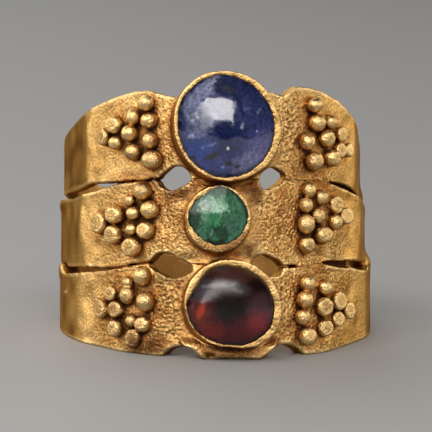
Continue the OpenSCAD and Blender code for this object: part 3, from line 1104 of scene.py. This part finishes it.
def noise_value(tree, wavelength_mm, detail, distortion=0, offset=0):
    """Noise in the object's own millimetres, about 0.5."""
    shift = node(tree, "ShaderNodeVectorMath", operation="ADD")
    tree.links.new(node(tree, "ShaderNodeTexCoord").outputs["Object"], shift.inputs[0])
    shift.inputs[1].default_value = (offset, offset, offset)
    made = node(tree, "ShaderNodeTexNoise")
    made.inputs["Scale"].default_value = 1 / (wavelength_mm * MM)
    made.inputs["Detail"].default_value = detail
    made.inputs["Distortion"].default_value = distortion
    tree.links.new(shift.outputs[0], made.inputs["Vector"])
    return Output(made.outputs["Fac"])


def mix_color(tree, amount, a, b, blend="MIX"):
    made = node(tree, "ShaderNodeMix", data_type="RGBA", blend_type=blend)
    for k, value in ((0, amount), (6, a), (7, b)):
        plug(made.inputs[k], value)
    return Output(made.outputs[2])


def bump(tree, height, strength, distance_mm):
    made = node(tree, "ShaderNodeBump")
    made.inputs["Strength"].default_value = strength
    made.inputs["Distance"].default_value = distance_mm * MM
    plug(made.inputs["Height"], height)
    return Output(made.outputs["Normal"])


# Gold

PALE_GOLD = (0.84, 0.6, 0.27)
WARM_GOLD = (0.72, 0.46, 0.17)
GOLD = (0.62, 0.36, 0.115)
RED_GOLD = (0.4, 0.165, 0.038)
TARNISH_AND_SHADE = (0.25, 0.12, 0.03)
SPECK = (0.24, 0.105, 0.026)
INSIDE_GOLD = (0.58, 0.33, 0.1)
# Dark browns that paint shade, with some soil in the deepest places
BROWN = (0.09, 0.028, 0.005)
SOIL_AND_SHADE = (0.058, 0.018, 0.004)


def gold_material():
    material, tree, shader = new_material("old_gold")
    shader.inputs["Metallic"].default_value = 1.0
    shader.inputs["Specular Tint"].default_value = (0.6, 0.34, 0.13, 1)
    shader.inputs["Coat Weight"].default_value = 0.12
    shader.inputs["Coat Roughness"].default_value = 0.35
    crevice = attribute(tree, "crevice")
    grain = attribute(tree, "grain")
    inside = attribute(tree, "inside")
    fine = noise_value(tree, 0.19, 3, offset=0.3)
    speck = noise_value(tree, 0.12, 2, offset=0.7)
    blots = noise_value(tree, 0.9, 3, offset=0.5).ramp(0.36, 0.62)
    # How deep a place lies among the gold; the darkest layers below paint soil and shade from it, in
    # crevices, between granules and under rims
    hollow = crevice + attribute(tree, "hollow") * 0.8 + attribute(tree, "pit") * 0.4 + fine * 0.3
    hollow = hollow + attribute(tree, "soiled_and_shaded") * 0.3
    soil_and_shade = hollow.ramp(1.42, 1.74)

    color = mix_color(tree, noise_value(tree, 2.2, 3).ramp(0.35, 0.65), GOLD, WARM_GOLD)
    # What lies over the gold, from the lowest to the highest: strength, colour
    layers = [
        ((grain * 0.75 + 0.16) * fine.ramp(0.46, 0.6), SPECK),
        (grain * 0.6 * fine.ramp(0.44, 0.34), PALE_GOLD),
        (attribute(tree, "stained") * blots + grain * blots * 0.4, RED_GOLD),
        # Brown tarnish, with painted shade in patches and on the collets' lower sides
        (attribute(tree, "tarnish_and_shade"), TARNISH_AND_SHADE),
        (crevice.ramp(0.44, 0.34) * 0.7, PALE_GOLD),
        (attribute(tree, "proud") * 0.3, PALE_GOLD),
        (inside * 0.6, INSIDE_GOLD),
        # Dark brown of the patches above and of the green collet's lower side: painted shade under slits,
        # granules and rims
        (attribute(tree, "brown") * blots.ramp(-0.9, 0.5), BROWN),
        # Painted shade: crevices and gaps redder, and the deepest dark with soil and shade
        (hollow.ramp(1.29, 1.45) * 0.6, RED_GOLD),
        (soil_and_shade, SOIL_AND_SHADE),
    ]
    for strength, tone in layers:
        color = mix_color(tree, strength, color, tone)
    plug(shader.inputs["Base Color"], color)
    plug(shader.inputs["Roughness"], soil_and_shade * 0.3 + fine * 0.16 + inside * 0.3 + 0.27)
    relief = fine * (grain * 1.2 + 0.4) + speck * (grain * 0.8 + 0.2)
    plug(shader.inputs["Normal"], bump(tree, relief, 0.7, 0.09))
    return material


# Stones

STONE_LIGHT = 1.9
# Direction of the stones' light: right, up, front
STONE_LAMP = (-0.25, 0.5, 0.83)
# Radius of the domes
GLOW_R = 4.6
# Distance of the stones' backs from the finger's axis
STONE_BACK = SEAT + 0.1
# How far a stone reaches under its rim
STONE_TUCK = 0.1
STONE_RINGS = 56
STONE_STEPS = 240
STONE_SPECK = (0.02, 0.03, 0.03)


def linear(color):
    """A colour of 0 to 255 on the screen as a base colour, in the light that falls on the stones."""
    share = np.array(color) / 255
    return np.where(share < 0.04, share / 12.92, ((share + 0.055) / 1.055) ** 2.4) / STONE_LIGHT


def glow(right, up):
    """Light that goes through a stone and out on its low right side, against the light on its face."""
    tilt = np.stack([right, up]) / GLOW_R
    facing = np.sqrt(np.maximum(1 - tilt[0] ** 2 - tilt[1] ** 2, 0.1))
    falling = STONE_LAMP[0] * tilt[0] + STONE_LAMP[1] * tilt[1] + STONE_LAMP[2] * facing
    return np.clip(STONE_LAMP[2] / np.maximum(falling, 0.2), 0.85, 1.9)


def mark_weight(points, uneven, right, up, wide, high, strength=0.9, soft=0.5, turn=0):
    """How strongly points lie in a mark with a soft edge."""
    c = math.cos(math.radians(turn))
    s = math.sin(math.radians(turn))
    x = points[:, 0] - right
    z = points[:, 2] - up
    away = np.hypot((x * c + z * s) / wide, (z * c - x * s) / high) + uneven
    return strength * (1 - smooth_step(1 - soft, 1 + soft, away))


def paint(points, base, marks, ragged):
    """Colours at a stone's points: soft uneven marks, some of them painted highlights, reflections and
    glows, laid one over another on the base colour, then brightened by the glow, which is painted light.
    """
    x = points[:, 0]
    z = points[:, 2]
    color = np.tile(linear(base), (len(points), 1))
    uneven = 0.16 * ragged * (sample_noise(NOISE_A, x, z, 0.9) + sample_noise(NOISE_B, x, z, 0.35))
    for tone, *mark in marks:
        weight = mark_weight(points, uneven, *mark)
        color = color + weight[:, None] * (linear(tone) - color)
    return color * glow(x, z)[:, None]


def edge_shade(name, points):
    """Dims a stone near its edge, where the collet shades it."""
    turn = np.arctan2(points[:, 2], points[:, 0])
    share = np.hypot(points[:, 0], points[:, 2]) / collet_outline(name, turn)[1]
    uneven = 0.02 * sample_noise(NOISE_B, points[:, 0], points[:, 2], 0.7)
    return (1 - 0.75 * smooth_step(0.92, 0.995, share + uneven))[:, None]


def stone_mesh(name, front):
    """A closed stone: its outline, its back plane, and its front as a function of place."""
    rim = COLLETS[name][2]
    steps = STONE_STEPS
    turn = np.arange(steps) * 2 * math.pi / steps
    edge = collet_outline(name, turn)[1] + STONE_TUCK
    rings = []
    for share in np.sin(np.linspace(0, 1, STONE_RINGS + 1)[1:] * math.pi / 2):
        right = edge * share * np.cos(turn)
        up = edge * share * np.sin(turn)
        rings.append(np.stack([right, -front(rim, right, up, share), up], axis=1))
    back_ring = rings[-1].copy()
    back_ring[:, 1] = -STONE_BACK
    zero = np.zeros(1)
    middles = [[0, -front(rim, zero, zero, 0)[0], 0], [0, -STONE_BACK, 0]]
    points = np.concatenate(rings + [back_ring, middles])
    last = len(rings)
    middle = (last + 1) * steps
    faces = []
    for i in range(steps):
        j = (i + 1) % steps
        faces.append((middle, i, j))
        faces.append((middle + 1, last * steps + j, last * steps + i))
        faces.extend(ring_quad(k, k + 1, i, steps) for k in range(last))
    return points, faces


DOME_STEPS = 200


def dome(share, half, edge_degrees, power):
    """Height of a dome over its edge, where it is this steep; the power makes its top more level."""
    steps = np.linspace(0, 1, DOME_STEPS + 1)
    slope = np.tan(np.radians(edge_degrees) * steps ** power)
    fall = np.concatenate([[0], np.cumsum((slope[1:] + slope[:-1]) / 2)]) * half / DOME_STEPS
    return np.interp(share, steps, fall[-1] - fall)


def blue_front(rim, right, up, share):
    return rim - 0.14 + dome(share, 3.35, 52, 1.25) + 0.004 * sample_noise(NOISE_A, right, up, 1.3)


# The crystal's point, and its faces: direction of the fall in degrees, steepness
GREEN_APEX = (0.15, 0.36)
GREEN_FACES = [(140, 0.4), (211, 0.36), (268, 0.42), (335, 0.38), (35, 0.34)]


def green_front(rim, right, up, _):
    low = 9
    for direction, steep in GREEN_FACES:
        c = math.cos(math.radians(direction))
        s = math.sin(math.radians(direction))
        low = smooth_min(low, -steep * ((right - GREEN_APEX[0]) * c + (up - GREEN_APEX[1]) * s), 0.07)
    pits = 0.003 * sample_noise(NOISE_C, right, up, 0.3) + 0.01 * sample_noise(NOISE_A, right, up, 0.9)
    return rim + 0.62 + low + pits


def red_front(rim, right, up, share):
    lean = 0.13 * up * (1 - share ** 2)
    return rim - 0.14 + dome(share, 2.95, 60, 1.8) + lean + 0.003 * sample_noise(NOISE_A, right, up, 1.4)


# Marks on a stone: colour, right, up, half width, half height, and where they aren't 0.9, 0.5 and 0 the
# strength, the softness and the turn in degrees. Some marks paint highlights, reflections and glows, as
# the comments among them say
BLUE_MARKS = [
    ((38, 48, 96), 1.9, 1.9, 1.5, 1.4), ((56, 62, 112), 2.2, 0.3, 1, 1.8, 0.8),
    ((72, 82, 130), 1, 1, 0.5, 1, 0.7), ((24, 37, 84), -0.2, -0.9, 1.25, 1.25, 0.95, 0.35),
    # The pale lilac marks low on the right, the last one on this line and the first on the next, are a
    # painted glow of light that comes out through the stone
    ((50, 57, 104), 0.95, -1.3, 0.6, 0.8, 0.7), ((92, 92, 142), 2.3, -1.5, 0.9, 1.3, 0.85, 0.6, -35),
    ((112, 112, 154), 1.5, -2.4, 1.2, 0.55, 0.9, 0.5, 20), ((40, 66, 142), -2, -1.5, 1, 1, 0.95),
    # The pale grey-blue marks at the left and top left, the last one on this line and those on the next two
    # lines, are a painted reflection of a light
    ((42, 56, 118), -1.1, -2.75, 0.9, 0.4, 0.8, 0.5, -10), ((130, 135, 168), -2, 0.2, 0.85, 0.95),
    ((132, 137, 166), -1.3, 0.5, 0.6, 0.5, 0.8), ((164, 170, 208), -1.85, 2.05, 1.8, 0.6, 0.9, 0.4, 50),
    ((206, 214, 244), -1.1, 2.8, 0.6, 0.2, 0.9, 0.5, 50),
    ((46, 56, 98), -0.1, 2.6, 1.05, 0.6, 0.95, 0.2, -15), ((76, 75, 82), 0, 2.42, 0.5, 0.26, 0.9, 0.6, -15),
    ((36, 43, 86), 0.72, 1.3, 0.16, 1.2, 0.9, 0.5, 24),
    # Painted reflection: a pale patch under the light's reflection, and its lower left arc first on the next
    # line
    ((120, 124, 152), -0.45, 1.3, 0.95, 0.6, 0.9, 0.3, -10),
    ((150, 158, 190), -1.2, 0.25, 0.5, 0.12, 0.8, 0.5, 32), ((44, 48, 84), -3.1, 0.4, 0.2, 1, 0.7),
    ((38, 41, 48), -1.13, -2.09, 0.45, 0.2, 1, 0.3, 28), ((32, 34, 41), 0.02, -2.58, 0.3, 0.16, 1, 0.3, -15),
    ((37, 38, 48), 0.59, -2.73, 0.2, 0.13, 1, 0.3, 25), ((42, 50, 75), -0.32, -2.3, 0.15, 0.12, 0.8),
    ((110, 150, 190), -0.4, -2.8, 0.13, 0.08, 0.8),
    # Painted glints: the near-white marks on this line and the next
    ((230, 234, 250), -2.15, 0.65, 0.12, 0.28, 0.95, 0.6, 25),
    ((216, 222, 246), -2.4, 0.35, 0.1, 0.14, 0.9, 0.6), ((176, 186, 228), -2.5, -0.75, 0.22, 0.14, 0.9, 0.6),
    ((112, 127, 180), -1.15, -1.35, 0.3, 0.09, 0.8, 0.6, 20),
    ((92, 108, 168), -1.7, -1.55, 0.13, 0.13, 0.8, 0.6),
    ((100, 114, 172), 1.2, 1.1, 0.27, 0.11, 0.7, 0.6, 15),
    ((190, 195, 218), 0.88, -0.05, 0.08, 0.24, 0.9, 0.4, -15),
    # A painted glint: the white dot first on this line
    ((255, 255, 255), -0.07, -1.6, 0.09, 0.09, 1, 0.4), ((165, 165, 205), 1.88, -0.42, 0.07, 0.09),
    ((130, 145, 165), 2.1, 1.1, 0.1, 0.07), ((130, 145, 165), 1.98, 0.88, 0.07, 0.1),
]
GREEN_MARKS = [
    ((74, 134, 98), 0.85, 0.45, 0.8, 1.3), ((72, 122, 98), 0.75, -0.75, 0.8, 0.8, 0.8, 0.6),
    ((84, 122, 110), 0.55, -0.65, 0.27, 0.27, 0.7, 0.6), ((42, 84, 60), -0.05, -1, 0.6, 0.9, 0.95, 0.4, 20),
    ((36, 52, 40), -0.4, -1.8, 1.1, 0.45), ((50, 74, 60), -1.75, 0.1, 0.5, 1.1, 0.9, 0.4),
    # Painted highlight: the two pale mint marks on this line, on the upper left face
    ((176, 228, 192), -0.5, 0.8, 0.95, 0.6, 1, 0.35), ((206, 230, 214), -0.95, 0.9, 0.45, 0.33, 0.95),
    ((110, 165, 120), 0.1, 1.3, 0.33, 0.4, 0.8), ((66, 108, 80), 0.1, 1.85, 0.9, 0.27),
    ((8, 44, 24), -0.2, -0.4, 0.2, 0.4, 0.9, 0.5, -30),
    ((66, 160, 104), -0.5, -0.05, 0.55, 0.46, 0.95, 0.3, -20), ((130, 180, 140), -1, 0.1, 0.2, 0.33, 0.7),
    ((120, 176, 136), -0.1, -0.1, 0.5, 0.05, 0.5, 0.5, 58),
    ((130, 160, 145), -0.6, -1, 0.09, 0.2, 0.7, 0.5, -15),
]
RED_MARKS = [
    ((16, 4, 6), -0.1, -0.7, 0.95, 1.1), ((86, 50, 42), 0.3, 2.05, 1.8, 0.7, 0.9, 0.6),
    # The purple-grey mark first on this line is a painted sheen of a light on the right
    ((84, 60, 66), 1.95, -0.2, 0.9, 1, 0.8, 0.7), ((32, 6, 12), 1.7, 1.3, 0.7, 0.5, 0.8),
    # Painted glow of light that comes out through the stone: the red marks on this line and the next, and
    # the orange-red streak and its tip on the two lines below
    ((134, 42, 52), 1.6, -1.3, 0.9, 0.65, 0.9, 0.8, 30), ((78, 18, 22), 0.3, -1.9, 1, 0.7, 0.9, 0.9),
    ((112, 32, 30), -1.5, -1.9, 0.8, 0.7, 0.9, 0.9), ((124, 46, 38), -2.2, -0.6, 0.7, 1, 0.8, 0.8),
    ((190, 62, 40), -2.15, -0.45, 0.53, 0.2, 1, 0.5, 72),
    # After the streak's tip: a pink haze, then a grey-blue haze, a broad grey veil, a pale streak and pale
    # scratches, a painted reflection of a light on the worn top left
    ((175, 80, 75), -2, 0.05, 0.27, 0.12, 0.9, 0.5, 72), ((104, 80, 88), -1.65, 0.75, 0.6, 0.3, 0.6, 0.9),
    ((84, 84, 94), -2.2, 0.6, 0.55, 0.5, 0.6, 0.9), ((96, 84, 84), -0.75, 1.15, 1.5, 0.45, 0.7, 0.6, -8),
    ((165, 160, 162), -0.85, 1.25, 0.9, 0.17, 0.9, 0.6, 4),
    ((110, 102, 104), 0.25, 0.9, 0.4, 0.13, 0.8, 0.5, -20), ((34, 30, 34), 0.45, 1.2, 0.33, 0.23, 0.9, 0.4),
    ((34, 30, 34), -0.3, 1.35, 0.2, 0.08, 0.8), ((130, 70, 75), -2.65, -0.1, 0.1, 0.13, 0.8),
]
# Each stone: its front, its base colour, its marks, how ragged they are, and the patch that is worn: right,
# up, half width, half height, strength, softness
STONES = {
    "blue": (blue_front, (56, 63, 115), BLUE_MARKS, 0.6, (-1.9, 0.3, 0.8, 1.1, 0.45, 0.2)),
    "green": (green_front, (72, 130, 96), GREEN_MARKS, 1, (0, 0, 9, 9, 1, 0.2)),
    "red": (red_front, (40, 11, 14), RED_MARKS, 0.4, (-0.3, 1.2, 1.9, 0.9, 1, 0.2)),
}
# Each stone's refraction, roughness where smooth and where worn, mottling, speckles and relief
STONE_LOOKS = {
    "blue": (1.77, 0.07, 0.5, 0.42, 0.1, 0.16),
    "green": (1.38, 0.28, 0.34, 0.4, 0.7, 0.25),
    "red": (1.45, 0.22, 0.27, 0.1, 0.1, 0.08),
}


def stone_material(name, ior, smooth_rough, worn_rough, mottle, speckle, relief):
    """A stone painted at its points, mottled, and rougher where it is worn."""
    material, tree, shader = new_material(name)
    paint_color = attribute(tree, "paint", "Color")
    fine = noise_value(tree, 0.22, 4, 0.6, 0.4)
    shade = fine.ramp(0.3, 0.7)
    darker, lighter = (
        mix_color(tree, 1, paint_color, (level, level, level), "MULTIPLY")
        for level in (1 - mottle, 1 + 0.8 * mottle)
    )
    mottled = mix_color(tree, shade, darker, lighter)
    dots = noise_value(tree, 0.11, 1, offset=0.9).ramp(0.58, 0.66) * speckle
    plug(shader.inputs["Base Color"], mix_color(tree, dots, mottled, STONE_SPECK))
    rough = attribute(tree, "worn") * (worn_rough - smooth_rough) + shade * 0.03 + smooth_rough
    plug(shader.inputs["Roughness"], rough)
    shader.inputs["IOR"].default_value = ior
    plug(shader.inputs["Normal"], bump(tree, fine, relief, 0.02))
    return material


def build_stone(name):
    """A stone, painted at its points, in its collet."""
    front, base, marks, ragged, worn = STONES[name]
    points, faces = stone_mesh(name, front)
    values = {
        "paint": paint(points, base, marks, ragged) * edge_shade(name, points),
        "worn": mark_weight(points, 0, *worn),
    }
    x, z, _ = COLLETS[name]
    gem = name + "_gem"
    material = stone_material(gem, *STONE_LOOKS[name])
    make_piece(gem, points + (x, 0, z), faces, name + "_stone", gem, material, values)


add_camera()
add_floor()
for light in LIGHTS:
    add_softbox(*light)
set_world()
gold = gold_material()
build_bands(gold)
for collet in COLLETS:
    build_collet(collet, gold)
for stone in STONES:
    build_stone(stone)
